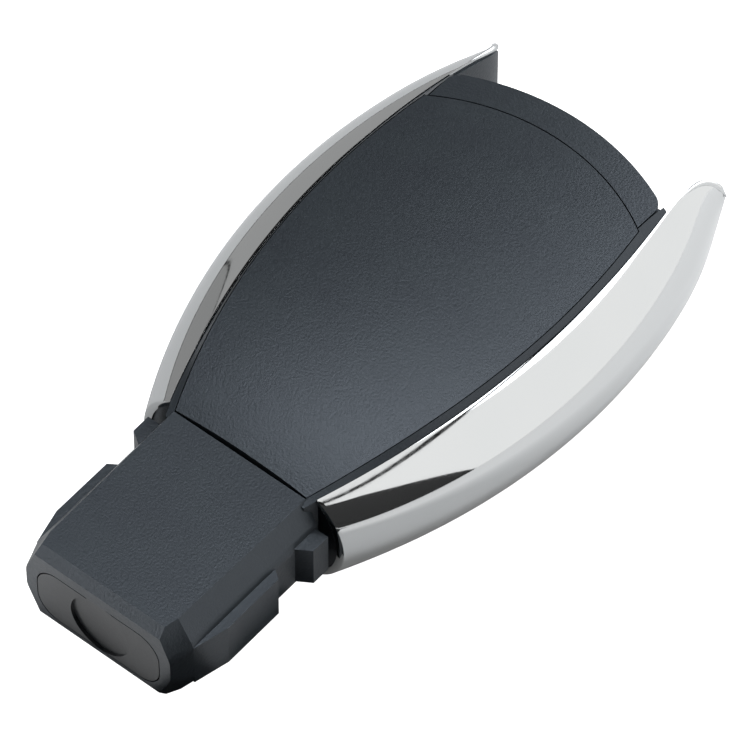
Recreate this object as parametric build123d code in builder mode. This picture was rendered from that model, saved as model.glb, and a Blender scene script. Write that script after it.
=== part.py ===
from build123d import *
from math import sqrt
import os

# Key fob shell, lying with its button side down and its battery cover up.
# Millimetres. X is across, +Y runs from the plug-in nose to the points of the two
# plated trims, Z is up from the surface that it lies on. X = 0 is the middle plane.

os.makedirs("parts", exist_ok=True)

overlap = 0.5             # how far fused pieces run into each other

# Ends along Y
nose_end_y = -44.28
crease_y = -20.3          # where the nose meets the battery cover
tip_y = 44.28             # points of the trims

# Nose, an eight-sided plug with a flat top and bottom
nose_top_z = 13.2
nose_bottom_z = 0.05
nose_top_half = 9.4       # half width of the flat top
nose_side_half = 11.2     # half width of the upright sides
nose_slope_height = 3.5   # height of each sloping side
nose_near_top_half = 9.1   # half width of the flat top where the taper starts
nose_side_round = 3.0     # rounding between the slopes and the upright sides
nose_taper_length = 2.9   # the last stretch, which narrows towards the end face
nose_end_top_half = 8.5
nose_end_side_half = 10.3
nose_end_slope_height = 4.3
nose_end_low_half = 7.6   # the end face is cut back more at its lower corners
nose_end_low_slope = 5.7
top_bevel_height = 1.0
top_bevel_length = 1.1
bottom_bevel_height = 2.0
bottom_bevel_length = 1.4
rib_half = 12.3           # half width over the long guide ribs
rib_far_y = -28.5
rib_near_y = -36.9
rib_low_z = 3.2
rib_high_z = 9.5
block_half = 12.9         # half width over the short stop blocks
block_far_y = -20.8
block_near_y = -23.3
block_low_z = 3.8
block_high_z = 9.7
key_slope = 1.1           # run of the slanted ends of ribs and blocks
window_half_length = 8.65
window_half_height = 3.9
window_depth = 1.2
window_z = 6.6
window_corner = 3.0
window_gap = 0.12
dish_radius = 4.1
dish_depth = 0.24         # at its middle, with a floor that slopes down to one side
dish_slope = 0.04
dish_x = 0.2
dish_z = 6.8

# Plated trims: each outer wall is an arc in section that follows an arc in plan
trim_half = 23.38         # half width over both trims at their widest
trim_wide_y = 15.0
trim_plan_radius = 72.1
trim_inner_half = 17.2    # half width between their upper edges
trim_inner_wide_y = 17.0
trim_inner_radius = 105.0
trim_high_z = 15.05
trim_high_y = 22.5
trim_high_radius = 550.0
trim_start_y = -19.9
trim_wall = 1.0
trim_lip = 0.6            # thickness of a trim at its upper and lower edge
trim_foot_depth = 0.15    # ground off under each trim, which leaves a flat land to rest on
tip_start_y = 29.1        # from here on the trim tapers to its point
tip_inset = 6.49          # from the widest line of the trim in to its point
tip_z = 10.1
tip_run = 15.25
tip_power = 3.7
core_tip_width = 0.9      # width at which the core ends in the point
hollow_reach = 3.0        # the cut that hollows a trim runs on past its open side
core_root = 0.25          # how far the core runs into the wall beside it
core_gap = 0.1            # between a trim and the core in it

# Crowned back: the cover and the key head share this surface
crown_edge_z = 13.35      # height of its middle line at the crease
crown_rise = 3.1
crown_peak_y = 25.0
crown_power = 3.5
crown_far_radius = 163.0
crown_cross_radius = 220.0
crown_overhang = 5.0      # the block under the crown is this much wider than the cover

# Battery cover
cover_half = 16.55
cover_wide_y = 16.0
cover_side_radius = 96.0
cover_far_y = 34.45       # middle of its curved far edge
cover_far_radius = 29.4
cover_gap = 0.12
crease_bow = 0.25         # the cover's near edge bows away from the nose by this much
cover_skin = 1.3
cover_skirt = 1.1         # thickness of the skirt under its edge
cover_skirt_depth = 2.0
cover_lip_depth = 0.7
cover_relief = 0.35       # the skirt stands in from the edge, so that the cover can swing
hook_width = 3.0
hook_spacing = 10.0
hook_reach = 1.5
hook_thickness = 0.9
hook_drop = 1.0           # below the crown
hook_swing = 1.2          # room under the hooks for the cover's swing
hook_play = 0.2
cover_lip_gap = 0.08
latch_width = 7.0
latch_depth = 3.6
latch_thickness = 1.2
latch_play = 0.35         # to the bay's end wall, for the swing

# Housing
rail_gap = 0.08
wall_inner_inset = 1.6
ledge_gap = 0.1
housing_low_z = 2.9
deck_low_z = 4.6
deck_high_z = 9.6
bay_far_y = 26.0          # end wall of the battery bay
bay_wall = 1.4
deck_side_inset = 0.5
head_rail_end_y = 35.0

# Key head and blade
head_gap = 0.15
channel_near_y = 27.4     # the head's channel in the housing starts here
head_far_y = 38.4
head_far_radius = 33.0
head_corner_round = 2.2
head_rail_width = 2.2     # between the trims' inner line and the head's cap
head_cap_wing = 0.7       # cap over the head's lower body, at each side
head_cap_low_z = 14.55
head_low_z = 3.8
head_high_z = 12.9        # its lower body passes under the cover's skirt
head_body_near_y = 27.6
pocket_half = 7.0
pocket_near_y = 31.6
pocket_low_z = 4.9
pocket_high_z = 10.9
ring_bar_radius = 1.1
ring_bar_y = 35.6
blade_width = 7.6
blade_thickness = 2.2
blade_tip_bevel = 2.0
groove_width = 1.8
groove_depth = 0.6
groove_tip_margin = 3.0
groove_root_margin = 11.0
blade_x = 0.0
blade_z = 7.1
blade_end_y = -24.0
blade_root_y = 30.2
blade_clearance = 0.25
blade_pin_radius = 0.75
blade_pin_y = 29.2
pin_clearance = 0.02
notch_depth = 0.9         # for the catch's nib, in the head's underside
bar_seat = 1.4            # depth of the ring bar's seat above the pocket

# Battery tray
cell_radius = 10.2
cell_spacing = 20.6
cells_y = 4.3
tray_half = 11.2
tray_floor = 0.7
tray_height = 3.0
tray_gap = 0.05
contact_thickness = 0.3
contact_width = 4.6
contact_tongue_half = 1.6
tongue_rise = 0.9
tongue_slope = 4.0
tongue_root_inset = 1.0
divider_notch = 5.4       # width of the bridge contact's way through the divider
finger_notch = 5.4        # width of the notch at each side of a well
negative_reach = 7.0

# Button side
face_low_z = 0.75         # lowest line of the crowned front face
face_thickness = 1.3
face_gap = 0.1            # beside the roots of the cores
face_near_y = -19.6
face_far_y = 36.0
face_far_radius = 40.0
button_length = 10.0
button_width = 15.0
button_pitch = 12.6
buttons_y = 7.0
button_gap = 0.15
button_low_z = 0.45
button_travel = 0.8
button_flange = 0.8
button_flange_width = 6.0
button_flange_thickness = 0.6
button_round = 0.35
button_stem_radius = 1.6
button_stem_play = 0.05   # left between a pressed stem and the mat
flange_gap = 0.03
mat_thickness = 0.6
mat_gap = 0.05
mat_half = 9.0
mat_margin = 1.0
mat_corner = 3.0
lamp_length = 3.4
lamp_width = 1.4
lamp_y = -13.6
lamp_gap = 0.05
lamp_flange = 0.5

# Release catch
catch_width = 6.0
catch_length = 3.2
catch_y = 29.6
catch_travel = 1.5
catch_gap = 0.12
catch_low_z = 0.4
catch_play = 0.05
catch_plate_margin = 0.8
catch_nib = 1.0
catch_nib_width = 1.6
catch_nib_engage = 0.6
catch_ridges = 4
ridge_width = 0.4
ridge_depth = 0.3
spring_strip = 0.15
spring_waves = 3
spring_length = 3.4
spring_height = 0.5
spring_width = 2.4
spring_seat = 0.8         # thickness of the housing's rib behind the spring
spring_play = 0.05
catch_plate_half = 2.8

tip_x = trim_half - tip_inset
top_z = crown_edge_z + crown_rise
head_cap_half = trim_inner_half - head_rail_width
head_body_half = head_cap_half - head_cap_wing


def arc_drop(offset, radius):
    """How far an arc falls away at a distance from its highest point."""
    return radius - sqrt(radius * radius - offset * offset)


def tip_scale(y):
    """Share of the trim's section that is left at y, 1 before the tip starts."""
    run = max(0.0, (y - tip_start_y) / tip_run)
    return sqrt(1 - run**tip_power)


def tapered(value, centre, y):
    return centre + (value - centre) * tip_scale(y)


def trim_outer_x(y):
    return tapered(trim_half - arc_drop(y - trim_wide_y, trim_plan_radius), tip_x, y)


def trim_inner_x(y):
    full = trim_inner_half - arc_drop(y - trim_inner_wide_y, trim_inner_radius)
    return tapered(full, tip_x, y)


def trim_top_z(y):
    return tapered(trim_high_z - arc_drop(y - trim_high_y, trim_high_radius), tip_z, y)


def trim_low_z(y):
    return tapered(-trim_foot_depth, tip_z, y)


def cover_half_x(y):
    return cover_half - arc_drop(y - cover_wide_y, cover_side_radius)


def crown_middle_z(y):
    """Height of the crowned back along the middle."""
    if y > crown_peak_y:
        drop = arc_drop(y - crown_peak_y, crown_far_radius)
    else:
        drop = crown_rise * ((crown_peak_y - y) / (crown_peak_y - crease_y)) ** crown_power
    return crown_edge_z + crown_rise - drop


def crown_z(x, y):
    return crown_middle_z(y) - arc_drop(x, crown_cross_radius)


def section_plane(y):
    """Upright plane across the fob, whose own x and y are the fob's X and Z."""
    return Plane(origin=(0, y, 0), x_dir=(1, 0, 0), z_dir=(0, -1, 0))


def trim_section(y, inset=0.0, open_side=0.0):
    """Section of a trim pulled in by inset, with its upright side moved inwards."""
    inner = trim_inner_x(y)
    top = trim_top_z(y) - inset * trim_lip / trim_wall
    low = trim_low_z(y) + inset * trim_lip / trim_wall
    outer = trim_outer_x(y) - inset
    with BuildSketch(section_plane(y)) as section:
        with BuildLine():
            ThreePointArc((inner, top), (outer, (top + low) / 2), (inner, low))
            if open_side > 0:
                Polyline((inner, low), (inner - open_side, low), (inner - open_side, top), (inner, top))
            else:
                Line((inner, low), (inner, top))
        make_face()
    return section.sketch


def plan_outline(half_width, near_y, far_y):
    """Plan shape with two curved sides, whose half width is a function of y."""
    mid_y = (near_y + far_y) / 2
    near_x, mid_x, far_x = half_width(near_y), half_width(mid_y), half_width(far_y)
    with BuildSketch() as outline:
        with BuildLine():
            ThreePointArc((near_x, near_y), (mid_x, mid_y), (far_x, far_y))
            Line((far_x, far_y), (-far_x, far_y))
            ThreePointArc((-far_x, far_y), (-mid_x, mid_y), (-near_x, near_y))
            Line((-near_x, near_y), (near_x, near_y))
        make_face()
    return outline.sketch


def far_arc(middle_y, radius):
    """Everything on the near side of an arc that crosses the middle plane at middle_y."""
    with BuildSketch() as area:
        with Locations((0, middle_y - radius)):
            Circle(radius)
        with Locations((0, middle_y - radius - tip_y)):
            Rectangle(2 * radius, 2 * tip_y)
    return area.sketch


crown_shares = [0, 0.06, 0.1, 0.16, 0.25, 0.36, 0.5, 0.64, 0.74, 0.84, 0.93, 1]
crown_near_y = crease_y - 2 * hook_reach - hook_width
crown_stations = [crown_near_y + share * (tip_y - crown_near_y) for share in crown_shares]


def crown_block(drop, low_z):
    """Everything under the crowned surface, lowered by drop, down to low_z."""
    with BuildPart() as block:
        for y in crown_stations:
            side = cover_half + crown_overhang
            with BuildSketch(section_plane(y)):
                with BuildLine():
                    edge = crown_z(side, y) - drop
                    ThreePointArc((side, edge), (0, crown_middle_z(y) - drop), (-side, edge))
                    Polyline((-side, edge), (-side, low_z), (side, low_z), (side, edge))
                make_face()
        loft()
    return block.part


under_crown = crown_block(0, 0)
under_skin = crown_block(cover_skin, 0)
under_lip = crown_block(cover_lip_depth, 0)
under_half_lip = crown_block(cover_lip_depth / 2, 0)
under_skirt = crown_block(cover_skirt_depth, 0)


# Right-hand core and wall of the housing, mirrored for the left-hand side
trim_shares = [0, 0.09, 0.2, 0.34, 0.48, 0.62, 0.75, 0.83, 0.88, 0.92, 0.955, 0.98, 1]


def trim_stations(first_y, last_y):
    return [first_y + share * (last_y - first_y) for share in trim_shares]


def filled_end_y(inset):
    """Last y at which a trim is wide enough for a filling pulled in by inset."""
    y = tip_y
    while trim_outer_x(y) - trim_inner_x(y) < inset + core_tip_width:
        y -= core_gap / 2
    return y


trim_ys = trim_stations(trim_start_y, tip_y)
hollow_ys = trim_stations(trim_start_y - overlap, filled_end_y(trim_wall))
core_ys = trim_stations(trim_start_y + overlap / 2, filled_end_y(trim_wall + core_gap))
wall_far_y = cover_far_y - arc_drop(head_cap_half, cover_far_radius)
wall_near_y = trim_start_y - bay_wall
wall_ys = [wall_near_y + share * (wall_far_y - wall_near_y) for share in (0, 0.13, 0.24, 0.42, 0.6, 0.78, 0.93, 1)]


def wall_section(y):
    """Wall between the bay and a trim, with the cover's ledge and the bevelled rail."""
    rail_inner = cover_half_x(y)
    rail_top = crown_z(rail_inner, y)
    rail_outer = trim_inner_x(y) - rail_gap
    bevel_low = min(trim_top_z(y) - rail_gap, rail_top - rail_gap)
    ledge = rail_top - cover_skirt_depth - ledge_gap
    wall_inner = rail_inner - wall_inner_inset
    with BuildSketch(section_plane(y)) as section:
        with BuildLine():
            Polyline(
                (rail_inner, rail_top),
                (rail_outer, bevel_low),
                (rail_outer, housing_low_z),
                (wall_inner, housing_low_z),
                (wall_inner, ledge),
                (rail_inner, ledge),
                close=True,
            )
        make_face()
    return section.sketch


def head_rail_section(y):
    """Rail beside the key head, with a ledge under the wings of the head's cap."""
    rail_inner = head_cap_half + head_gap
    outer = trim_inner_x(y) - rail_gap
    bevel_low = trim_top_z(y) - rail_gap
    bevel_high = min(crown_z(rail_inner, y), bevel_low + outer - rail_inner)
    ledge = head_cap_low_z - head_gap
    with BuildSketch(section_plane(y)) as section:
        with BuildLine():
            Polyline(
                (rail_face, housing_low_z),
                (outer, housing_low_z),
                (outer, bevel_low),
                (rail_inner, bevel_high),
                (rail_inner, ledge),
                (rail_face, ledge),
                close=True,
            )
        make_face()
    return section.sketch


rail_face = head_body_half + head_gap

with BuildPart() as side:
    for y in core_ys:
        add(trim_section(y, trim_wall + core_gap, core_root))
    loft()
    for y in wall_ys:
        add(wall_section(y))
    loft()
    for y in (wall_far_y, (wall_far_y + head_rail_end_y) / 2, head_rail_end_y):
        add(head_rail_section(y))
    loft()

# Nose: the straight stretch, then the taper, then the bevels of the end
def nose_section(y, side_half, top_half, top_slope, low_half, low_slope):
    with BuildSketch(section_plane(y)) as section:
        with BuildLine():
            Polyline(
                (top_half, nose_top_z),
                (side_half, nose_top_z - top_slope),
                (side_half, nose_bottom_z + low_slope),
                (low_half, nose_bottom_z),
                (-low_half, nose_bottom_z),
                (-side_half, nose_bottom_z + low_slope),
                (-side_half, nose_top_z - top_slope),
                (-top_half, nose_top_z),
                close=True,
            )
        make_face()
        columns = section.vertices().group_by(Axis.X)
        fillet(columns[0] + columns[-1], nose_side_round)
    return section.sketch


taper_y = nose_end_y + nose_taper_length
root_y = crease_y - cover_gap


def taper_section():
    return nose_section(
        taper_y, nose_side_half, nose_near_top_half, nose_slope_height, nose_near_top_half, nose_slope_height
    )


with BuildPart() as nose:
    add(taper_section())
    add(nose_section(
        root_y, nose_side_half, nose_top_half, nose_slope_height, nose_top_half, nose_slope_height
    ))
    loft(ruled=True)
    add(nose_section(
        nose_end_y,
        nose_end_side_half,
        nose_end_top_half,
        nose_end_slope_height,
        nose_end_low_half,
        nose_end_low_slope,
    ))
    add(taper_section())
    loft(ruled=True)
    # wedges off the top and bottom edges of the end face
    with BuildSketch(Plane.YZ):
        with BuildLine():
            Polyline(
                (nose_end_y, nose_top_z),
                (nose_end_y, nose_top_z - top_bevel_height),
                (nose_end_y + top_bevel_length, nose_top_z),
                close=True,
            )
        make_face()
        with BuildLine():
            Polyline(
                (nose_end_y, nose_bottom_z),
                (nose_end_y, nose_bottom_z + bottom_bevel_height),
                (nose_end_y + bottom_bevel_length, nose_bottom_z),
                close=True,
            )
        make_face()
    extrude(amount=nose_side_half, both=True, mode=Mode.SUBTRACT)
    for sign in (1, -1):
        with BuildSketch(Plane.XY.offset(rib_low_z)):
            with BuildLine():
                Polyline(
                    (sign * (nose_side_half - overlap), rib_far_y + key_slope),
                    (sign * rib_half, rib_far_y),
                    (sign * rib_half, rib_near_y),
                    (sign * nose_side_half, taper_y),
                    (sign * (nose_side_half - overlap), taper_y),
                    close=True,
                )
            make_face()
        extrude(amount=rib_high_z - rib_low_z)
        with BuildSketch(Plane.XY.offset(block_low_z)):
            with BuildLine():
                Polyline(
                    (sign * (nose_side_half - overlap), block_far_y),
                    (sign * block_half, block_far_y),
                    (sign * block_half, block_near_y),
                    (sign * nose_side_half, block_near_y - key_slope),
                    (sign * (nose_side_half - overlap), block_near_y - key_slope),
                    close=True,
                )
            make_face()
        extrude(amount=block_high_z - block_low_z)
    # seat of the end window
    with BuildSketch(Plane(origin=(0, nose_end_y, window_z), x_dir=(1, 0, 0), z_dir=(0, 1, 0))):
        RectangleRounded(
            2 * (window_half_length + window_gap), 2 * (window_half_height + window_gap), window_corner
        )
    extrude(amount=window_depth, mode=Mode.SUBTRACT)

tunnel_half = blade_width / 2 + blade_clearance
tunnel_low_z = blade_z - blade_thickness / 2 - blade_clearance
tunnel_high_z = blade_z + blade_thickness / 2 + blade_clearance


def deck_half_x(y):
    return cover_half_x(y) - deck_side_inset


with BuildPart() as housing:
    add(side.part)
    mirror(about=Plane.YZ)
    add(nose.part)
    # deck under the battery tray
    with BuildSketch(Plane.XY.offset(deck_low_z)):
        add(plan_outline(deck_half_x, crease_y - overlap, bay_far_y + bay_wall))
    extrude(amount=deck_high_z - deck_low_z)
    # bulkhead between the nose and the bay, and the end wall of the bay
    with BuildSketch(Plane.XY.offset(housing_low_z)):
        with Locations((0, (root_y + crease_y + bay_wall) / 2)):
            Rectangle(2 * nose_top_half, crease_y + bay_wall - root_y + overlap)
    extrude(amount=deck_high_z - housing_low_z)
    with BuildSketch(Plane.XY.offset(housing_low_z)):
        with Locations((0, bay_far_y + bay_wall / 2)):
            Rectangle(2 * (rail_face + overlap), bay_wall)
    extrude(amount=crown_z(rail_face, bay_far_y) - cover_skirt_depth - ledge_gap - housing_low_z)
    # channel and floor of the key head
    with BuildSketch(Plane.XY.offset(housing_low_z)):
        with Locations((0, (channel_near_y + tip_y) / 2)):
            Rectangle(2 * rail_face, tip_y - channel_near_y)
    extrude(amount=trim_high_z, mode=Mode.SUBTRACT)
    with BuildSketch(Plane.XY.offset(housing_low_z)):
        with Locations((0, (bay_far_y + head_rail_end_y) / 2)):
            Rectangle(2 * (rail_face + overlap), head_rail_end_y - bay_far_y)
    extrude(amount=head_low_z - head_gap - housing_low_z)
    # blade tunnel
    with BuildSketch(Plane.XY.offset(tunnel_low_z)):
        with Locations((blade_x, (blade_end_y + bay_far_y) / 2)):
            Rectangle(2 * tunnel_half, bay_far_y + 2 * bay_wall - blade_end_y + 2 * blade_clearance)
    extrude(amount=tunnel_high_z - tunnel_low_z, mode=Mode.SUBTRACT)
    # slots under the nose's top for the cover's two hooks
    with BuildSketch(Plane.XY.offset(crown_edge_z - hook_drop - hook_thickness - hook_swing)):
        with GridLocations(hook_spacing, 0, 2, 1):
            with Locations((0, crease_y - hook_reach / 2)):
                Rectangle(hook_width + 2 * hook_play, hook_reach + 2 * cover_skirt)
    extrude(amount=hook_thickness + hook_swing + cover_lip_gap, mode=Mode.SUBTRACT)
    # slot that the catch's nib passes through
    with BuildSketch(Plane.XY.offset(housing_low_z)):
        with Locations((catch_travel / 2, catch_y)):
            Rectangle(catch_nib_width + catch_travel + 2 * catch_gap, catch_nib + 2 * catch_gap)
    extrude(amount=head_low_z - head_gap - housing_low_z, mode=Mode.SUBTRACT)
    # rib that the catch's spring leans on
    with BuildSketch(Plane.XY.offset(housing_low_z - spring_height - 2 * spring_play)):
        with Locations((catch_plate_half + spring_length + spring_seat / 2, catch_y)):
            Rectangle(spring_seat, spring_width)
    extrude(amount=spring_height + 2 * spring_play + pin_clearance)
housing.part.label = "housing"
export_step(housing.part, "parts/housing.step")

# Plated trims, hollow shells clipped over the housing's cores
with BuildPart() as right_trim:
    for y in trim_ys:
        add(trim_section(y))
    loft()
    for y in hollow_ys:
        add(trim_section(y, trim_wall, hollow_reach))
    loft(mode=Mode.SUBTRACT)
    # flat land to rest on
    with BuildSketch():
        Rectangle(4 * trim_half, 4 * tip_y)
    extrude(amount=-2 * trim_foot_depth, mode=Mode.SUBTRACT)
right_trim.part.label = "right_trim"
export_step(right_trim.part, "parts/right_trim.step")

with BuildPart() as left_trim:
    add(right_trim.part)
    mirror(about=Plane.YZ, mode=Mode.REPLACE)
left_trim.part.label = "left_trim"
export_step(left_trim.part, "parts/left_trim.step")

# Battery cover: crowned skin, a lip round its edge and a skirt that stands in from it
def cover_lip_x(y):
    return cover_half_x(y) - cover_gap


def cover_skirt_x(y):
    return cover_half_x(y) - cover_gap - cover_relief


def cover_inside_x(y):
    return cover_skirt_x(y) - cover_skirt


cover_near_y = crease_y + cover_gap
near_half = cover_lip_x(cover_near_y)
crease_radius = (near_half**2 + crease_bow**2) / (2 * crease_bow)

with BuildPart() as cover_lip:
    with BuildSketch(Plane.XY.offset(deck_low_z)):
        add(plan_outline(cover_lip_x, cover_near_y, tip_y))
        add(far_arc(cover_far_y, cover_far_radius), mode=Mode.INTERSECT)
    extrude(amount=top_z)
    add(under_crown, mode=Mode.INTERSECT)
    add(under_lip, mode=Mode.SUBTRACT)

with BuildPart() as cover_skin_block:
    with BuildSketch(Plane.XY.offset(deck_low_z)):
        add(plan_outline(cover_skirt_x, cover_near_y, tip_y))
        add(far_arc(cover_far_y - cover_relief, cover_far_radius), mode=Mode.INTERSECT)
    extrude(amount=top_z)
    add(under_half_lip, mode=Mode.INTERSECT)

with BuildPart() as cover_skirt_ring:
    add(cover_skin_block.part)
    add(under_skirt, mode=Mode.SUBTRACT)
    with BuildSketch(Plane.XY.offset(deck_low_z)):
        add(plan_outline(cover_inside_x, cover_near_y + cover_skirt, tip_y))
        add(far_arc(cover_far_y - cover_relief - cover_skirt, cover_far_radius), mode=Mode.INTERSECT)
    extrude(amount=top_z, mode=Mode.SUBTRACT)

with BuildPart() as battery_cover:
    add(cover_skin_block.part)
    add(under_skin, mode=Mode.SUBTRACT)
    add(cover_skirt_ring.part)
    add(cover_lip.part)
    # bow of the near edge, above the hooks
    with BuildSketch(Plane.XY.offset(crown_edge_z - hook_drop)):
        with Locations((0, cover_near_y + crease_bow - crease_radius)):
            Circle(crease_radius)
    extrude(amount=top_z, mode=Mode.SUBTRACT)
    # hooks at the nose end
    with BuildSketch(Plane.XY.offset(crown_edge_z - hook_drop - hook_thickness)):
        with GridLocations(hook_spacing, 0, 2, 1):
            with Locations((0, cover_near_y + (cover_skirt - hook_reach) / 2)):
                Rectangle(hook_width, hook_reach + cover_skirt)
    extrude(amount=hook_thickness)
    # latch tongue at the far end, behind the bay's end wall
    with BuildSketch(Plane.XY.offset(crown_edge_z + crown_rise - latch_depth)):
        with Locations((0, bay_far_y - latch_play - latch_thickness / 2)):
            Rectangle(latch_width, latch_thickness)
    extrude(amount=latch_depth - cover_skin / 2)
battery_cover.part.label = "battery_cover"
export_step(battery_cover.part, "parts/battery_cover.step")

# Window let into the end of the nose, with a shallow slanted dish
window_plane = Plane(origin=(0, nose_end_y, window_z), x_dir=(1, 0, 0), z_dir=(0, 1, 0))
with BuildPart() as nose_window:
    with BuildSketch(window_plane):
        RectangleRounded(2 * window_half_length, 2 * window_half_height, window_corner)
    extrude(amount=window_depth)
    dish_plane = Plane(
        origin=(dish_x, nose_end_y + dish_depth, dish_z),
        x_dir=(1, -dish_slope, 0),
        z_dir=(-dish_slope, -1, -dish_slope),
    )
    with BuildSketch(dish_plane):
        Circle(dish_radius)
    extrude(amount=2 * window_depth, mode=Mode.SUBTRACT)
nose_window.part.label = "nose_window"
export_step(nose_window.part, "parts/nose_window.step")

# Key head: a crowned cap over a lower body that slides between the rails
cap_near_radius = cover_far_radius + head_gap
seat_near_y = head_body_near_y - overlap
seat_far_y = blade_root_y + pin_clearance


with BuildPart() as key_head:
    with BuildSketch(Plane.XY.offset(head_cap_low_z)) as cap_plan:
        with Locations((0, (head_body_near_y + tip_y) / 2)):
            Rectangle(2 * head_cap_half, tip_y - head_body_near_y)
        add(far_arc(head_far_y, head_far_radius), mode=Mode.INTERSECT)
        far_corners = cap_plan.vertices().filter_by_position(Axis.Y, pocket_near_y, tip_y)
        fillet(far_corners, head_corner_round)
        add(far_arc(cover_far_y + head_gap, cap_near_radius), mode=Mode.SUBTRACT)
    extrude(amount=top_z - head_cap_low_z + overlap)
    add(under_crown, mode=Mode.INTERSECT)
    with BuildSketch(Plane.XY.offset(head_low_z)):
        with Locations((0, (head_body_near_y + tip_y) / 2)):
            Rectangle(2 * head_body_half, tip_y - head_body_near_y)
        add(far_arc(head_far_y, head_far_radius), mode=Mode.INTERSECT)
    extrude(amount=head_cap_low_z - head_low_z + overlap)
    # clear of the cover's far edge and skirt
    with BuildSketch(Plane.XY.offset(head_high_z)):
        add(far_arc(cover_far_y + head_gap, cap_near_radius))
    extrude(amount=top_z, mode=Mode.SUBTRACT)
    # pocket for a key ring, open at the far end
    with BuildSketch(Plane.XY.offset(pocket_low_z)):
        with Locations((0, (pocket_near_y + tip_y) / 2)):
            Rectangle(2 * pocket_half, tip_y - pocket_near_y)
    extrude(amount=pocket_high_z - pocket_low_z, mode=Mode.SUBTRACT)
    # bore for the ring bar, from the underside
    with BuildSketch(Plane.XY.offset(head_low_z)):
        with Locations((0, ring_bar_y)):
            Circle(ring_bar_radius + pin_clearance)
    extrude(amount=pocket_high_z - head_low_z + bar_seat, mode=Mode.SUBTRACT)
    # seat of the blade's root and the bore of its pin
    with BuildSketch(Plane.XY.offset(blade_z - blade_thickness / 2 - pin_clearance)):
        with Locations((blade_x, (seat_near_y + seat_far_y) / 2)):
            Rectangle(blade_width + 2 * pin_clearance, seat_far_y - seat_near_y)
    extrude(amount=blade_thickness + 2 * pin_clearance, mode=Mode.SUBTRACT)
    with BuildSketch(Plane.XY.offset(head_low_z)):
        with Locations((blade_x, blade_pin_y)):
            Circle(blade_pin_radius + pin_clearance)
    extrude(amount=blade_z + blade_thickness + pin_clearance - head_low_z, mode=Mode.SUBTRACT)
    # notch for the catch's nib, open towards the nose
    with BuildSketch(Plane.XY.offset(head_low_z)):
        with Locations((catch_travel / 2, catch_y)):
            Rectangle(
                catch_nib_width + catch_travel + 4 * catch_gap,
                2 * (catch_y - head_body_near_y + catch_gap),
            )
    extrude(amount=notch_depth, mode=Mode.SUBTRACT)
key_head.part.label = "key_head"
export_step(key_head.part, "parts/key_head.step")

# Steel bar that the key ring goes round
with BuildPart() as ring_bar:
    with BuildSketch(Plane.XY.offset(head_low_z)):
        with Locations((0, ring_bar_y)):
            Circle(ring_bar_radius)
    extrude(amount=pocket_high_z - head_low_z + bar_seat - pin_clearance)
ring_bar.part.label = "ring_bar"
export_step(ring_bar.part, "parts/ring_bar.step")

# Emergency key blade with a milled groove in each face and a bevelled tip
groove_near_y = blade_end_y + groove_tip_margin
groove_far_y = blade_root_y - groove_root_margin

with BuildPart() as key_blade:
    with BuildSketch(Plane.XY.offset(blade_z - blade_thickness / 2)):
        with BuildLine():
            half = blade_width / 2
            Polyline(
                (blade_x - half, blade_root_y),
                (blade_x - half, blade_end_y + blade_tip_bevel),
                (blade_x - half + blade_tip_bevel, blade_end_y),
                (blade_x + half - blade_tip_bevel, blade_end_y),
                (blade_x + half, blade_end_y + blade_tip_bevel),
                (blade_x + half, blade_root_y),
                close=True,
            )
        make_face()
    extrude(amount=blade_thickness)
    for side_sign in (1, -1):
        groove_z = blade_z + side_sign * blade_thickness / 2
        with BuildSketch(Plane.XY.offset(groove_z)):
            with Locations((blade_x, (groove_near_y + groove_far_y) / 2)):
                SlotOverall(groove_far_y - groove_near_y, groove_width, rotation=90)
        extrude(amount=groove_depth, both=True, mode=Mode.SUBTRACT)
    with BuildSketch(Plane.XY.offset(blade_z - blade_thickness)):
        with Locations((blade_x, blade_pin_y)):
            Circle(blade_pin_radius + pin_clearance)
    extrude(amount=2 * blade_thickness, mode=Mode.SUBTRACT)
key_blade.part.label = "key_blade"
export_step(key_blade.part, "parts/key_blade.step")

with BuildPart() as blade_pin:
    with BuildSketch(Plane.XY.offset(head_low_z + notch_depth)):
        with Locations((blade_x, blade_pin_y)):
            Circle(blade_pin_radius)
    extrude(amount=blade_z + blade_thickness - head_low_z - notch_depth)
blade_pin.part.label = "blade_pin"
export_step(blade_pin.part, "parts/blade_pin.step")

# Battery tray: two round wells side by side
well_places = [(0, cells_y - cell_spacing / 2), (0, cells_y + cell_spacing / 2)]
tray_low_z = deck_high_z + tray_gap

with BuildPart() as battery_tray:
    with BuildSketch(Plane.XY.offset(tray_low_z)):
        with Locations((0, cells_y)):
            SlotCenterToCenter(cell_spacing, 2 * tray_half, rotation=90)
    extrude(amount=tray_height)
    with BuildSketch(Plane.XY.offset(tray_low_z + tray_floor)):
        with Locations(*well_places):
            Circle(cell_radius)
    extrude(amount=tray_height, mode=Mode.SUBTRACT)
    # finger notches beside each well, and a way through the divider
    with BuildSketch(Plane.XY.offset(tray_low_z + tray_floor)):
        with Locations(*well_places):
            Rectangle(4 * tray_half, finger_notch)
        with Locations((0, cells_y)):
            Rectangle(divider_notch, cell_spacing)
    extrude(amount=tray_height, mode=Mode.SUBTRACT)
battery_tray.part.label = "battery_tray"
export_step(battery_tray.part, "parts/battery_tray.step")

# Contacts: a bridge on the floors of both wells, and one upright contact beside each well
contact_low_z = tray_low_z + tray_floor + tray_gap
contact_high_z = contact_low_z + contact_thickness

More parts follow.
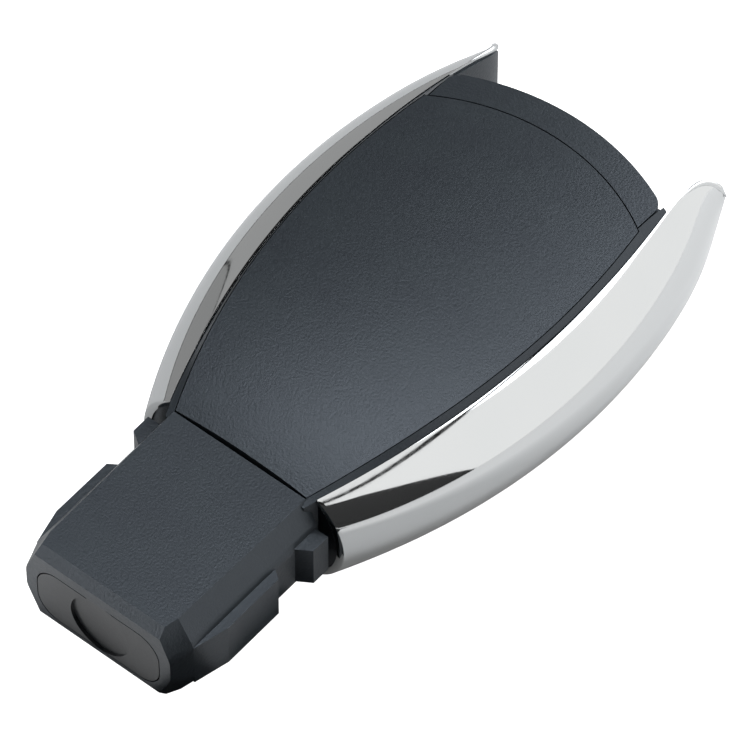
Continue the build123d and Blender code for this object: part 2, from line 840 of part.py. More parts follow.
with BuildPart() as bridge_contact:
    with BuildSketch(Plane.XY.offset(contact_low_z)):
        with Locations((0, cells_y)):
            Rectangle(contact_width, cell_spacing + 2 * tongue_slope)
    extrude(amount=contact_thickness)
    # sprung tongues, raised from the strip in each well
    for sign in (1, -1):
        root = cells_y + sign * (cell_spacing / 2 + tongue_slope - tongue_root_inset)
        tip = cells_y + sign * (cell_spacing / 2 - tongue_slope)
        low = contact_high_z - contact_thickness / 2
        with BuildSketch(Plane.YZ):
            with BuildLine():
                Polyline(
                    (root, low),
                    (tip, low + tongue_rise),
                    (tip, low + tongue_rise + contact_thickness),
                    (root, low + contact_thickness),
                    close=True,
                )
            make_face()
        extrude(amount=contact_width / 4, both=True)
bridge_contact.part.label = "bridge_contact"
export_step(bridge_contact.part, "parts/bridge_contact.step")

contact_x = (cell_radius + tray_half) / 2
upright_height = tray_height - tray_floor - tray_gap

with BuildPart() as positive_contact:
    with BuildSketch(Plane.XY.offset(contact_low_z)):
        with Locations((contact_x, well_places[0][1])):
            Rectangle(contact_thickness, contact_width)
    extrude(amount=upright_height)
    # bent tongue that presses on the cell's rim
    with BuildSketch(Plane.XY.offset(contact_low_z + upright_height / 3)):
        with BuildLine():
            x, y = contact_x - contact_thickness / 2, well_places[0][1]
            Polyline(
                (x, y - contact_tongue_half),
                (x - contact_thickness, y),
                (x, y + contact_tongue_half),
                close=True,
            )
        make_face()
    extrude(amount=upright_height / 3)
positive_contact.part.label = "positive_contact"
export_step(positive_contact.part, "parts/positive_contact.step")

with BuildPart() as negative_contact:
    with BuildSketch(Plane.XY.offset(contact_low_z)):
        with Locations((-contact_x, well_places[1][1])):
            Rectangle(contact_thickness, contact_width)
    extrude(amount=upright_height + contact_thickness)
    # arm over the top of the cell
    with BuildSketch(Plane.XY.offset(contact_low_z + upright_height)):
        with Locations((-contact_x + negative_reach / 2, well_places[1][1])):
            Rectangle(negative_reach, contact_width / 2)
    extrude(amount=contact_thickness)
negative_contact.part.label = "negative_contact"
export_step(negative_contact.part, "parts/negative_contact.step")

# Button side
with BuildPart() as face_crown:
    with BuildSketch(section_plane(-tip_y)):
        with BuildLine():
            reach = trim_half
            low_edge = face_low_z + arc_drop(reach, crown_cross_radius)
            high_edge = low_edge + face_thickness
            ThreePointArc((-reach, low_edge), (0, face_low_z), (reach, low_edge))
            Line((reach, low_edge), (reach, high_edge))
            ThreePointArc((reach, high_edge), (0, face_low_z + face_thickness), (-reach, high_edge))
            Line((-reach, high_edge), (-reach, low_edge))
        make_face()
    extrude(amount=-2 * tip_y)

button_places = [(0, buttons_y + step * button_pitch) for step in (-1, 0, 1)]
face_inner_z = face_low_z + face_thickness


def front_half_x(y):
    return trim_inner_x(y) - core_root - face_gap


with BuildPart() as front_face:
    add(face_crown.part)
    with BuildSketch(Plane.XY):
        add(plan_outline(front_half_x, face_near_y, face_far_y))
        add(far_arc(face_far_y, face_far_radius), mode=Mode.INTERSECT)
    extrude(amount=top_z, mode=Mode.INTERSECT)
    with BuildSketch(Plane.XY):
        with Locations(*button_places):
            Ellipse(button_width / 2 + button_gap, button_length / 2 + button_gap)
        with Locations((0, lamp_y)):
            SlotOverall(lamp_length + 2 * lamp_gap, lamp_width + 2 * lamp_gap)
        with Locations((catch_travel / 2, catch_y)):
            Rectangle(catch_width + catch_travel + 2 * catch_gap, catch_length + 2 * catch_gap)
    extrude(amount=top_z, mode=Mode.SUBTRACT)
front_face.part.label = "front_face"
export_step(front_face.part, "parts/front_face.step")

mat_high_z = deck_low_z - mat_gap
mat_low_z = mat_high_z - mat_thickness
flange_low_z = face_inner_z + flange_gap
stem_high_z = mat_low_z - button_travel - button_stem_play


def push_button(place):
    """Oval key with a flange that holds it behind the front face, and a stem."""
    with BuildPart() as button:
        with BuildSketch(Plane.XY.offset(button_low_z)):
            with Locations(place):
                Ellipse(button_width / 2, button_length / 2)
        extrude(amount=flange_low_z + button_flange_thickness - button_low_z)
        outer_edge = button.faces().sort_by(Axis.Z)[0].edges()
        fillet(outer_edge, button_round)
        with BuildSketch(Plane.XY.offset(flange_low_z)):
            with Locations(place):
                Rectangle(button_flange_width, button_length + 2 * button_flange)
        extrude(amount=button_flange_thickness)
        with BuildSketch(Plane.XY.offset(flange_low_z)):
            with Locations(place):
                Circle(button_stem_radius)
        extrude(amount=stem_high_z - flange_low_z)
    return button.part


button_names = ["unlock_button", "trunk_button", "lock_button"]
for name, place in zip(button_names, button_places):
    button = push_button(place)
    button.label = name
    export_step(button, f"parts/{name}.step")

with BuildPart() as keypad_mat:
    with BuildSketch(Plane.XY.offset(mat_low_z)):
        with Locations((0, buttons_y)):
            RectangleRounded(2 * mat_half, 2 * button_pitch + button_length + 2 * mat_margin, mat_corner)
    extrude(amount=mat_thickness)
keypad_mat.part.label = "keypad_mat"
export_step(keypad_mat.part, "parts/keypad_mat.step")

with BuildPart() as lamp_lens:
    with BuildSketch(Plane.XY.offset(face_low_z + lamp_gap)):
        with Locations((0, lamp_y)):
            SlotOverall(lamp_length, lamp_width)
    extrude(amount=face_thickness)
    with BuildSketch(Plane.XY.offset(face_inner_z + flange_gap)):
        with Locations((0, lamp_y)):
            SlotOverall(lamp_length + 2 * lamp_flange, lamp_width + 2 * lamp_flange)
    extrude(amount=housing_low_z - face_inner_z - flange_gap - lamp_gap)
lamp_lens.part.label = "lamp_lens"
export_step(lamp_lens.part, "parts/lamp_lens.step")

# Release catch: thumb pad through the front face, plate behind it, nib up to the key head
plate_low_z = face_inner_z + catch_play
with BuildPart() as release_catch:
    with BuildSketch(Plane.XY.offset(catch_low_z)):
        with Locations((0, catch_y)):
            Rectangle(catch_width, catch_length)
    extrude(amount=plate_low_z - catch_low_z)
    with BuildSketch(Plane.XY.offset(catch_low_z)):
        with Locations((0, catch_y)):
            with GridLocations(catch_width / catch_ridges, 0, catch_ridges, 1):
                Rectangle(ridge_width, catch_length)
    extrude(amount=ridge_depth, mode=Mode.SUBTRACT)
    with BuildSketch(Plane.XY.offset(plate_low_z)):
        with Locations((0, catch_y)):
            Rectangle(2 * catch_plate_half, catch_length + 2 * catch_plate_margin)
    extrude(amount=housing_low_z - catch_play - plate_low_z)
    with BuildSketch(Plane.XY.offset(plate_low_z)):
        with Locations((0, catch_y)):
            Rectangle(catch_nib_width, catch_nib)
    extrude(amount=head_low_z + catch_nib_engage - plate_low_z)
release_catch.part.label = "release_catch"
export_step(release_catch.part, "parts/release_catch.step")

# Spring of the catch: a strip bent to and fro between the catch's plate and the housing's rib
with BuildPart() as catch_spring:
    first_x = catch_plate_half + spring_play + spring_strip / 2
    step = (spring_length - 2 * spring_play - spring_strip) / spring_waves
    with BuildSketch(Plane.XY.offset(housing_low_z - spring_height - spring_play)):
        for bend in range(spring_waves + 1):
            with Locations((first_x + bend * step, catch_y)):
                Rectangle(spring_strip, spring_width)
        for bend in range(spring_waves):
            y = catch_y + (spring_width - spring_strip) / 2 * (1 if bend % 2 else -1)
            with Locations((first_x + (bend + 0.5) * step, y)):
                Rectangle(step + spring_strip, spring_strip)
    extrude(amount=spring_height)
catch_spring.part.label = "catch_spring"
export_step(catch_spring.part, "parts/catch_spring.step")
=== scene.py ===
import bpy
import math
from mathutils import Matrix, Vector


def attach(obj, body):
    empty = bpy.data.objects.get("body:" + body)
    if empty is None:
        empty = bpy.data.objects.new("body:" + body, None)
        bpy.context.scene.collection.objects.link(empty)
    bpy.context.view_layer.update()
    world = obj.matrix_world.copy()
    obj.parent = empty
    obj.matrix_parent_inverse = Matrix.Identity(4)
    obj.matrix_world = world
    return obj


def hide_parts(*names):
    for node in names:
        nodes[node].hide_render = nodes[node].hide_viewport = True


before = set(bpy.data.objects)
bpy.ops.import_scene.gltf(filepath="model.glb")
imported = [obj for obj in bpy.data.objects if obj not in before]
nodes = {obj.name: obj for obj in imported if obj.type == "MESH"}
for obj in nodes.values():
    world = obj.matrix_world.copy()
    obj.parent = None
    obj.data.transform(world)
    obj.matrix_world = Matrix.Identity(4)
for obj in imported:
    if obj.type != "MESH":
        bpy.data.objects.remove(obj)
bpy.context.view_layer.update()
mm = 0.001
print("frame loaded")


# colours are typed as sRGB hex and turned linear here
def hexColour(code):
    channels = [int(code[i:i + 2], 16) / 255 for i in (1, 3, 5)]
    linear = [c / 12.92 if c <= 0.04045 else ((c + 0.055) / 1.055) ** 2.4 for c in channels]
    return (*linear, 1.0)


# adds one node with its settings, its socket values and the links into it
def addNode(tree, kind, values=None, links=None, **settings):
    node = tree.nodes.new(kind)
    for name, value in settings.items():
        setattr(node, name, value)
    for socket, value in (values or {}).items():
        node.inputs[socket].default_value = value
    for socket, source in (links or {}).items():
        tree.links.new(source, node.inputs[socket])
    return node


def startMaterial(name, shaderValues):
    material = bpy.data.materials.new(name)
    material.use_nodes = True
    tree = material.node_tree
    tree.nodes.clear()
    shader = addNode(tree, "ShaderNodeBsdfPrincipled", values=shaderValues)
    addNode(tree, "ShaderNodeOutputMaterial", links={"Surface": shader.outputs["BSDF"]})
    place = addNode(tree, "ShaderNodeTexCoord").outputs["Object"]
    return material, tree, shader, place


# finer layers over each pattern, how strongly they come through, and where most values lie
finerLayers = {"mottle": 3.0, "grain": 2.0, "swell": 1.0, "marks": 3.0, "stain": 2.0, "fibres": 3.0}
layerStrength = 0.55
usualSpan = (0.3, 0.7)


# noise values from the real size of what the pattern draws
def patternValues(pattern, sizeMm):
    return {"Scale": 1 / (sizeMm * mm), "Detail": finerLayers[pattern], "Roughness": layerStrength}


# lays patterns on a surface: one for its two tones, one for its roughness, one for its relief
def layPatterns(tree, shader, recipe, tone, polish, relief, span=usualSpan):
    tones = addNode(
        tree,
        "ShaderNodeMix",
        values={"A": hexColour(recipe["dark"]), "B": hexColour(recipe["light"])},
        links={"Factor": tone},
        data_type="RGBA",
    )
    smooth, rough = recipe["roughness"]
    polished = addNode(
        tree,
        "ShaderNodeMapRange",
        values={"From Min": span[0], "From Max": span[1], "To Min": smooth, "To Max": rough},
        links={"Value": polish},
    )
    bump = addNode(
        tree,
        "ShaderNodeBump",
        values={"Distance": recipe["reliefMm"] * mm},
        links={"Height": relief},
    )
    tree.links.new(tones.outputs["Result"], shader.inputs["Base Color"])
    tree.links.new(polished.outputs["Result"], shader.inputs["Roughness"])
    tree.links.new(bump.outputs["Normal"], shader.inputs["Normal"])


# moulded plastic or rubber: the grain of the tool over a faint mottle
def grainedPlastic(name, recipe):
    material, tree, shader, place = startMaterial(name, {
        "IOR": recipe["ior"],
        "Specular Tint": hexColour(recipe["sheen"]),
        "Transmission Weight": recipe["clear"],
    })
    mottle = addNode(
        tree,
        "ShaderNodeTexNoise",
        values=patternValues("mottle", recipe["mottleMm"]),
        links={"Vector": place},
    )
    grain = addNode(
        tree,
        "ShaderNodeTexNoise",
        values=patternValues("grain", recipe["grainMm"]),
        links={"Vector": place},
    ).outputs["Fac"]
    tone = addNode(
        tree,
        "ShaderNodeMapRange",
        values={"From Min": usualSpan[0], "From Max": usualSpan[1]},
        links={"Value": mottle.outputs["Fac"]},
    )
    layPatterns(tree, shader, recipe, tone.outputs["Result"], grain, grain)
    return material


# ABS, injection moulded in a spark-eroded tool: satin, with a fine even grain
mouldedAbs = {
    "dark": "#1d2125",
    "light": "#212629",
    "roughness": (0.3, 0.37),
    "ior": 1.55,
    "sheen": "#e2ecf8",
    "clear": 0.0,
    "grainMm": 0.3,  # real grain is near 0.05 mm, drawn coarser so that it shows
    "reliefMm": 0.024,
    "mottleMm": 6.0,
}
blackAbs = grainedPlastic("mouldedBlackAbs", mouldedAbs)

# ABS of the end window, from a polished tool: a plain sheen with hardly any grain
polishedAbs = {
    "dark": "#232527",
    "light": "#292b2d",
    "roughness": (0.33, 0.38),
    "ior": 1.53,
    "sheen": "#f2f5f8",
    "clear": 0.0,
    "grainMm": 0.3,  # drawn coarser than real, as the housing's
    "reliefMm": 0.004,
    "mottleMm": 5.0,
}
windowAbs = grainedPlastic("polishedBlackAbs", polishedAbs)

# silicone rubber of the buttons, moulded: matt and soft, a little uneven
mouldedRubber = {
    "dark": "#202122",
    "light": "#2a2b2c",
    "roughness": (0.6, 0.75),
    "ior": 1.42,
    "sheen": "#f2f5f8",
    "clear": 0.0,
    "grainMm": 0.35,  # drawn coarser than real, as the housing's
    "reliefMm": 0.012,
    "mottleMm": 4.0,
}
keyRubber = grainedPlastic("mouldedSiliconeRubber", mouldedRubber)

# acrylic of the signal lamp, moulded clear in red: smooth, and the light goes some way in
mouldedAcrylic = {
    "dark": "#7a0c0c",
    "light": "#8c1010",
    "roughness": (0.08, 0.14),
    "ior": 1.49,
    "sheen": "#ffffff",
    "clear": 0.6,
    "grainMm": 0.6,  # drawn coarser than real, as the housing's
    "reliefMm": 0.001,
    "mottleMm": 2.0,
}
lampRed = grainedPlastic("mouldedRedAcrylic", mouldedAcrylic)


# plating over plastic: a slight swell under it and hairlines from handling along the fob
def brightPlating(name, recipe):
    material, tree, shader, place = startMaterial(name, {"Metallic": 1.0})
    drawn = addNode(
        tree,
        "ShaderNodeMapping",
        values={"Scale": recipe["hairlineStretch"]},
        links={"Vector": place},
    )
    hairline = addNode(
        tree,
        "ShaderNodeTexNoise",
        values=patternValues("marks", recipe["hairlineMm"]),
        links={"Vector": drawn.outputs["Vector"]},
    ).outputs["Fac"]
    swell = addNode(
        tree,
        "ShaderNodeTexNoise",
        values=patternValues("swell", recipe["swellMm"]),
        links={"Vector": place},
    ).outputs["Fac"]
    layPatterns(tree, shader, recipe, swell, hairline, swell, recipe["hairlineSpan"])
    return material


# ABS, electroplated with bright chrome over nickel: a mirror with a faint swell and hairlines
platedChrome = {
    "dark": "#c1c3c3",
    "light": "#c5c6c6",
    "roughness": (0.035, 0.075),
    "swellMm": 9.0,
    "reliefMm": 0.004,
    "hairlineMm": 0.25,  # real hairlines are near 0.02 mm, drawn coarser so that they show
    "hairlineStretch": (1, 0.04, 1),
    "hairlineSpan": (0.35, 0.7),
}
chrome = brightPlating("platedBrightChrome", platedChrome)


# steel with the marks of its making drawn out along one direction
def workedSteel(name, recipe):
    material, tree, shader, place = startMaterial(name, {"Metallic": 1.0})
    drawn = addNode(
        tree,
        "ShaderNodeMapping",
        values={"Scale": recipe["markStretch"]},
        links={"Vector": place},
    )
    marks = addNode(
        tree,
        "ShaderNodeTexNoise",
        values=patternValues("marks", recipe["markMm"]),
        links={"Vector": drawn.outputs["Vector"]},
    ).outputs["Fac"]
    stain = addNode(
        tree,
        "ShaderNodeTexNoise",
        values=patternValues("stain", recipe["stainMm"]),
        links={"Vector": place},
    ).outputs["Fac"]
    layPatterns(tree, shader, recipe, stain, marks, marks)
    return material


# steel of the key and its pins, milled and nickel plated: pale, with fine marks along the blade
milledNickel = {
    "dark": "#8f8f8b",
    "light": "#a9a9a4",
    "roughness": (0.22, 0.36),
    "markMm": 0.3,  # real milling marks are near 0.1 mm, drawn coarser so that they show
    "markStretch": (1, 0.05, 1),
    "reliefMm": 0.006,
    "stainMm": 7.0,
}
milledSteel = workedSteel("milledNickelSteel", milledNickel)

# spring steel strip, cold rolled: darker, with marks along the strip
rolledStrip = {
    "dark": "#807c74",
    "light": "#98948b",
    "roughness": (0.28, 0.42),
    "markMm": 0.25,  # real rolling marks are finer, drawn coarser so that they show
    "markStretch": (0.08, 1, 1),
    "reliefMm": 0.005,
    "stainMm": 7.0,
}
rolledSteel = workedSteel("rolledSpringSteel", rolledStrip)
print("materials made")

finishes = {
    "housing": blackAbs,
    "battery_cover": blackAbs,
    "key_head": blackAbs,
    "release_catch": blackAbs,
    "front_face": blackAbs,
    "battery_tray": blackAbs,
    "nose_window": windowAbs,
    "lock_button": keyRubber,
    "trunk_button": keyRubber,
    "unlock_button": keyRubber,
    "keypad_mat": keyRubber,
    "left_trim": chrome,
    "right_trim": chrome,
    "key_blade": milledSteel,
    "blade_pin": milledSteel,
    "ring_bar": milledSteel,
    "catch_spring": rolledSteel,
    "positive_contact": rolledSteel,
    "negative_contact": rolledSteel,
    "bridge_contact": rolledSteel,
    "lamp_lens": lampRed,
}
for name, material in finishes.items():
    mesh = nodes[name].data
    mesh.materials.clear()
    mesh.materials.append(material)
print("cad nodes finished")

# plated trims, repeated from the CAD's sizes in mm with more and smoother faces
trimSizes = {
    "half": 23.38,
    "wideY": 15.0,
    "planRadius": 72.1,
    "innerHalf": 17.2,
    "innerWideY": 17.0,
    "innerRadius": 105.0,
    "highZ": 15.05,
    "highY": 22.5,
    "highRadius": 550.0,
    "footDepth": 0.15,
    "startY": -19.9,
    "endY": 44.28,
    "wall": 1.0,
    "lip": 0.6,
    "tipStartY": 29.1,
    "tipX": 16.89,
    "tipZ": 10.1,
    "tipRun": 15.25,
    "tipPower": 3.7,
    "leastHalf": 0.05,  # keeps a section of the wall from closing to nothing, as does the next
    "leastWidth": 0.01,
    "straightSteps": 126,
    "tipSteps": 64,
    "aroundSteps": 64,
    "weld": 0.002,
    "edgeRound": 0.16,
    "edgeSegments": 3,
    "edgeDegrees": 40,
}


# how far an arc has fallen at some distance from its middle
def arcDrop(offset, radius):
    return radius - math.sqrt(radius * radius - offset * offset)


# outer and inner half width, upper and lower height of a trim, which all close at the tip
def trimEdges(y):
    s = trimSizes
    run = max(0.0, (y - s["tipStartY"]) / s["tipRun"])
    full = math.sqrt(max(0.0, 1 - run ** s["tipPower"]))  # 1 along the fob, 0 at the very tip
    outer = s["half"] - arcDrop(y - s["wideY"], s["planRadius"])
    inner = s["innerHalf"] - arcDrop(y - s["innerWideY"], s["innerRadius"])
    top = s["highZ"] - arcDrop(y - s["highY"], s["highRadius"])
    acrossTip = [s["tipX"] + (x - s["tipX"]) * full for x in (outer, inner)]
    upTip = [s["tipZ"] + (z - s["tipZ"]) * full for z in (top, -s["footDepth"])]
    return acrossTip + upTip


# one side of the wall at y, as an arc from the upper edge to the lower
def trimArc(y, inset):
    s = trimSizes
    outer, inner, top, low = trimEdges(y)
    half = max((top - low) / 2 - inset * s["lip"] / s["wall"], s["leastHalf"])
    middle = (top + low) / 2
    width = max(outer - inset - inner, s["leastWidth"])
    radius = (half * half + width * width) / (2 * width)
    turn = math.asin(min(1.0, half / radius))
    if width > radius:
        turn = math.pi - turn
    points = []
    for i in range(s["aroundSteps"] + 1):
        angle = turn * (1 - 2 * i / s["aroundSteps"])
        x = inner + width - radius + radius * math.cos(angle)
        z = middle + radius * math.sin(angle)
        points.append((x, max(z, 0.0)))
    return points


# where along the fob a trim has its sections, closer together towards the tip
def trimStations():
    s = trimSizes
    straight, tip = s["tipStartY"] - s["startY"], s["endY"] - s["tipStartY"]
    stations = [s["startY"] + straight * i / s["straightSteps"] for i in range(s["straightSteps"])]
    for i in range(s["tipSteps"] + 1):
        stations.append(s["tipStartY"] + tip * (1 - (1 - i / s["tipSteps"]) ** 2))
    return stations


def trimMesh(name, side):
    vertices, faces = [], []
    stations = trimStations()
    for y in stations:
        ring = trimArc(y, 0.0) + trimArc(y, trimSizes["wall"])[::-1]
        vertices += [(side * x * mm, y * mm, z * mm) for x, z in ring]
    size = len(ring)
    for row in range(len(stations) - 1):
        for k in range(size):
            a = row * size + k
            b = row * size + (k + 1) % size
            faces.append((a, b, b + size, a + size))
    # the two ends close the wall
    for row in (0, len(stations) - 1):
        first, last = row * size, row * size + size - 1
        for k in range(trimSizes["aroundSteps"]):
            quad = (first + k, last - k, last - 1 - k, first + k + 1)
            faces.append(quad if row == 0 else quad[::-1])
    mesh = bpy.data.meshes.new(name)
    mesh.from_pydata(vertices, [], faces if side > 0 else [face[::-1] for face in faces])
    mesh.update()
    for polygon in mesh.polygons:
        polygon.use_smooth = True
    mesh.materials.append(chrome)
    return mesh


def buildTrim(name, side):
    piece = bpy.data.objects.new(name, trimMesh(name, side))
    bpy.context.scene.collection.objects.link(piece)
    weld = piece.modifiers.new("weld", "WELD")
    weld.merge_threshold = trimSizes["weld"] * mm
    bevel = piece.modifiers.new("roundEdges", "BEVEL")
    bevel.width = trimSizes["edgeRound"] * mm
    bevel.segments = trimSizes["edgeSegments"]
    bevel.limit_method = "ANGLE"
    bevel.angle_limit = math.radians(trimSizes["edgeDegrees"])
    normals = piece.modifiers.new("evenNormals", "WEIGHTED_NORMAL")
    normals.keep_sharp = True
    return piece


# rolled lip that carries the plating over the end of the core; it thins out along the upper edge
tipLip = {
    "radius": 0.4,  # mm, as is sunk
    "sunk": 0.2,
    "start": 0.5,  # shares of the tip's run: where it begins and where it is at its thickest
    "full": 0.985,
    "leastShare": 0.05,  # of the radius, where it begins and at its end
    "endShare": 0.25,
    "steps": 32,
    "roundSteps": 6,
}


def buildTipLip(name, side):
    lip = tipLip
    curve = bpy.data.curves.new(name, "CURVE")
    curve.dimensions = "3D"
    curve.bevel_depth = lip["radius"] * mm
    curve.bevel_resolution = lip["roundSteps"]
    curve.use_fill_caps = True
    spline = curve.splines.new("POLY")
    spline.points.add(lip["steps"])
    for i, point in enumerate(spline.points):
        run = lip["start"] + (1 - lip["start"]) * math.sin(math.radians(90) * i / lip["steps"])
        y = trimSizes["tipStartY"] + trimSizes["tipRun"] * run
        inner, top = trimEdges(y)[1:3]
        x, z = inner + lip["sunk"], top - lip["sunk"]
        point.co = (side * x * mm, (y - lip["sunk"]) * mm, z * mm, 1)
        if run < lip["full"]:
            rising = (run - lip["start"]) / (lip["full"] - lip["start"])
            point.radius = max(lip["leastShare"], math.sin(math.radians(90) * rising))
        else:
            falling = (run - lip["full"]) / (1 - lip["full"])
            point.radius = 1 - (1 - lip["endShare"]) * falling
    piece = bpy.data.objects.new(name, curve)
    bpy.context.scene.collection.objects.link(piece)
    curve.materials.append(chrome)
    return piece


for name, side in (("right_trim", 1), ("left_trim", -1)):
    tip = buildTipLip(name.replace("_trim", "TipLip"), side)
    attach(tip, "shell")
    trim = buildTrim(name.replace("_trim", "PlatedTrim"), side)
    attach(trim, "shell")
    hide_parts(name)
print("trims made")


# a place from metres away, aside and up in a frame turned to an azimuth, from +X towards +Y
def onPlane(azimuth, away, aside, height):
    turn = math.radians(azimuth)
    x = away * math.cos(turn) - aside * math.sin(turn)
    y = away * math.sin(turn) + aside * math.cos(turn)
    return Vector((x, y, height))


# a place as it is seen from the object
def onSphere(azimuth, elevation, distance):
    rise = math.radians(elevation)
    return onPlane(azimuth, distance * math.cos(rise), 0, distance * math.sin(rise))


def stageSheet(name, corners, material):
    mesh = bpy.data.meshes.new(name)
    mesh.from_pydata(corners, [], [list(range(len(corners)))])
    mesh.materials.append(material)
    sheet = bpy.data.objects.new(name, mesh)
    bpy.context.scene.collection.objects.link(sheet)
    return sheet


# uncoated paper: matt, with a faint mottle of its fibres; a sheet's glow stands for lamps that
# light it alone
paperStock = {"roughness": 0.9, "ior": 1.45, "fibreMm": 1.5}


def paper(name, sheet):
    material, tree, shader, place = startMaterial(name, {
        "Roughness": paperStock["roughness"],
        "IOR": paperStock["ior"],
        "Emission Color": hexColour("#ffffff"),
        "Emission Strength": sheet["glow"],
    })
    fibres = addNode(
        tree,
        "ShaderNodeTexNoise",
        values=patternValues("fibres", paperStock["fibreMm"]),
        links={"Vector": place},
    )
    tones = addNode(
        tree,
        "ShaderNodeMix",
        values={"A": hexColour(sheet["dark"]), "B": hexColour(sheet["light"])},
        links={"Factor": fibres.outputs["Fac"]},
        data_type="RGBA",
    )
    tree.links.new(tones.outputs["Result"], shader.inputs["Base Color"])
    if "rampMm" in sheet:
        # the glow rises across the sheet, away from the fob's own shade
        turned = addNode(
            tree,
            "ShaderNodeMapping",
            values={"Rotation": (0, 0, math.radians(sheet["rampAzimuth"]))},
            links={"Vector": place},
            vector_type="TEXTURE",
        )
        along = addNode(tree, "ShaderNodeSeparateXYZ", links={"Vector": turned.outputs["Vector"]})
        start, end = sheet["rampMm"]
        ramp = addNode(
            tree,
            "ShaderNodeMapRange",
            values={"From Min": start * mm, "From Max": end * mm, "To Max": sheet["rampGlow"]},
            links={"Value": along.outputs["X"]},
        )
        tree.links.new(ramp.outputs["Result"], shader.inputs["Emission Strength"])
    return material


# floor: white paper that the lamps burn out, as in the photograph
floorSheet = {"half": 1.5, "dropMm": 0.1, "dark": "#eeeeee", "light": "#f4f4f4", "glow": 0.8}
half = floorSheet["half"]
drop = -floorSheet["dropMm"] * mm
floorCorners = [(x * half, y * half, drop) for x, y in ((-1, -1), (1, -1), (1, 1), (-1, 1))]
floor = stageSheet("floorPaper", floorCorners, paper("whitePaper", floorSheet))
floor.visible_diffuse = False
floor.visible_glossy = False

# cards on the floor that only the fob sees: what its plating and its gloss mirror from below, with
# the floor's shade near the fob painted into the grey and black ones
cards = {
    # pale, wherever no other card lies over it
    "whiteCardAround": {
        "cornersMm": ((-300, -300), (300, -300), (300, 300), (-300, 300)),
        "liftMm": -0.08,
        "dark": "#eeeeee",
        "light": "#f4f4f4",
        "glow": 0.45,
    },
    # painted shade: under the fob and beyond it, the floor as the fob mirrors it, darkest in the
    # fob's own shade
    "paintedShadeCardUnder": {
        "cornersMm": ((-300, -46), (5, -46), (300, -90), (300, 300), (-300, 300)),
        "liftMm": -0.06,
        "dark": "#d6d6d6",
        "light": "#dadada",
        "glow": 0.0,
        "rampMm": (26, 46),
        "rampAzimuth": 35,
        "rampGlow": 0.38,
    },
    # painted shadow: the floor on the camera's side of the nose, dark where the fob's own shadow
    # lies, as the fob mirrors it
    "paintedShadowCardUnder": {
        "cornersMm": (
            (4, -24), (15.5, -24), (15.5, -31), (14, -38),
            (190, -66), (190, -300), (25, -300), (7, -48),
        ),
        "liftMm": -0.04,
        "dark": "#1a1b1c",
        "light": "#202122",
        "glow": 0.0,
    },
}
for name, card in cards.items():
    corners = [(x * mm, y * mm, card["liftMm"] * mm) for x, y in card["cornersMm"]]
    laid = stageSheet(name, corners, paper(name + "Paper", card))
    laid.visible_camera = False
    laid.visible_shadow = False

# black card standing at the nose side: the dark wedge in the right trim
blackCard = {
    "distance": 0.45,
    "directions": ((8, -16), (-10, 40), (-72, 40), (-72, -16)),  # azimuth and elevation
    "dark": "#0c0c0d",
    "light": "#121213",
    "glow": 0.03,
}
corners = [onSphere(*direction, blackCard["distance"]) for direction in blackCard["directions"]]
screen = stageSheet("blackCardBeside", corners, paper("blackCard", blackCard))
screen.visible_camera = False

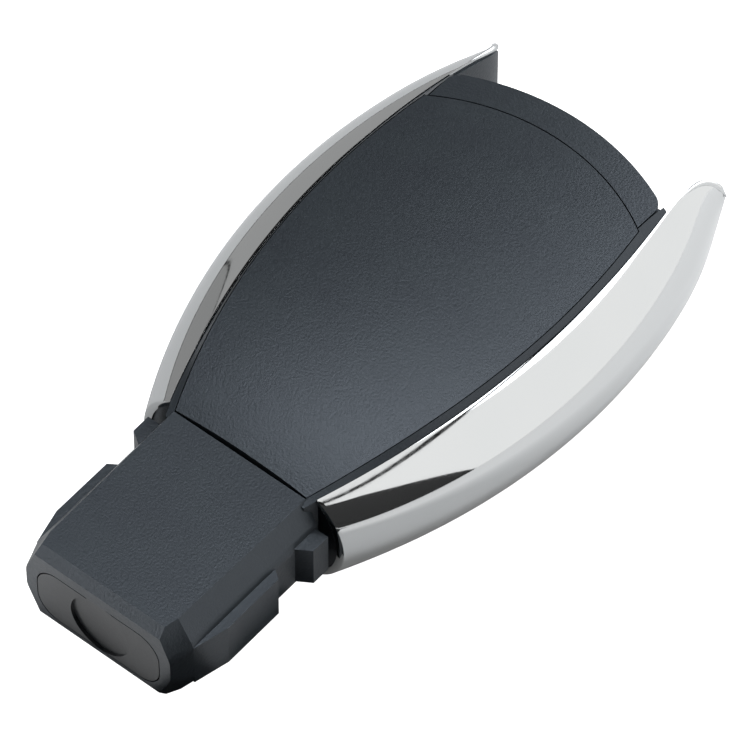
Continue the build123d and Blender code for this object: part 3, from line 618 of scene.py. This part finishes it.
# softboxes, each standing or flat in a frame turned to its azimuth, with spans in metres; the
# radiance is what the plating mirrors
softboxes = {
    "wallSoftbox": {
        "azimuth": 60,
        "stands": True,
        "away": (0.5, 0.5),
        "aside": (-1.45, 0.1),
        "height": (-0.1, 1.45),
        "radiance": 1.35,
        "colour": "#ffffff",
    },
    "backSoftbox": {
        "azimuth": 60,
        "stands": True,
        "away": (0.5, 0.5),
        "aside": (0.1, 0.56),
        "height": (-0.1, 1.45),
        "radiance": 4.7,
        "colour": "#f4f7fb",
    },
    "stripSoftbox": {
        "azimuth": 60,
        "stands": False,
        "away": (0.0, 0.184),
        "aside": (-0.5, 0.12),
        "height": (0.6, 0.6),
        "radiance": 1.3,
        "colour": "#ffffff",
    },
    "overheadSoftbox": {
        "azimuth": 60,
        "stands": False,
        "away": (-0.12, 0.184),
        "aside": (0.12, 0.3),
        "height": (0.6, 0.6),
        "radiance": 5.7,
        "colour": "#f4f7fb",
    },
    "sideSoftbox": {
        "azimuth": 140,
        "stands": True,
        "away": (0.5, 0.5),
        "aside": (-0.2, 0.2),
        "height": (0.0, 0.4),
        "radiance": 0.48,
        "colour": "#ffffff",
    },
    "noseSoftbox": {
        "azimuth": -120,
        "stands": True,
        "away": (0.5, 0.5),
        "aside": (-0.09, 0.09),
        "height": (0.18, 0.38),
        "radiance": 4.6,
        "colour": "#ffffff",
    },
    "farSideSoftbox": {
        "azimuth": 180,
        "stands": True,
        "away": (0.5, 0.5),
        "aside": (-0.16, 0.5),
        "height": (0.0, 0.7),
        "radiance": 0.38,
        "colour": "#ffffff",
    },
}
for name, box in softboxes.items():
    near, far = box["away"]
    left, right = box["aside"]
    low, high = box["height"]
    light = bpy.data.lights.new(name, "AREA")
    light.shape = "RECTANGLE"
    light.color = hexColour(box["colour"])[:3]
    light.size = right - left
    light.size_y = high - low if box["stands"] else far - near
    light.energy = box["radiance"] * math.pi * light.size * light.size_y
    lamp = bpy.data.objects.new(name, light)
    bpy.context.scene.collection.objects.link(lamp)
    middles = [(start + end) / 2 for start, end in ((near, far), (left, right), (low, high))]
    lamp.location = onPlane(box["azimuth"], *middles)
    # a standing lamp shines back at the fob, a flat one shines down
    tilt = math.radians(90 if box["stands"] else 0)
    lamp.rotation_euler = (tilt, 0, math.radians(box["azimuth"] + 90))
    lamp.visible_camera = False

room = {"colour": "#ffffff", "strength": 0.02}
world = bpy.data.worlds.new("studioRoom")
bpy.context.scene.world = world
world.use_nodes = True
background = world.node_tree.nodes["Background"]
background.inputs["Color"].default_value = hexColour(room["colour"])
background.inputs["Strength"].default_value = room["strength"]
print("studio set")

# photographer's camera, looking at a point just right of the middle
lens = {
    "aimMm": (4.38, -2.5, 13.2),
    "azimuth": -50.4,
    "elevation": 52.5,
    "distance": 0.85,
    "focal": 370.87,
    "sensor": 36.0,
    "nearest": 0.01,
    "farthest": 20.0,
}
cameraData = bpy.data.cameras.new("photoCamera")
cameraData.lens = lens["focal"]
cameraData.sensor_width = lens["sensor"]
cameraData.clip_start = lens["nearest"]
cameraData.clip_end = lens["farthest"]
camera = bpy.data.objects.new("photoCamera", cameraData)
bpy.context.scene.collection.objects.link(camera)
towardsCamera = onSphere(lens["azimuth"], lens["elevation"], 1)
camera.location = Vector(lens["aimMm"]) * mm + lens["distance"] * towardsCamera
camera.rotation_euler = towardsCamera.to_track_quat("Z", "Y").to_euler()
bpy.context.scene.camera = camera
bpy.context.scene.view_settings.view_transform = "Standard"
print("camera placed")
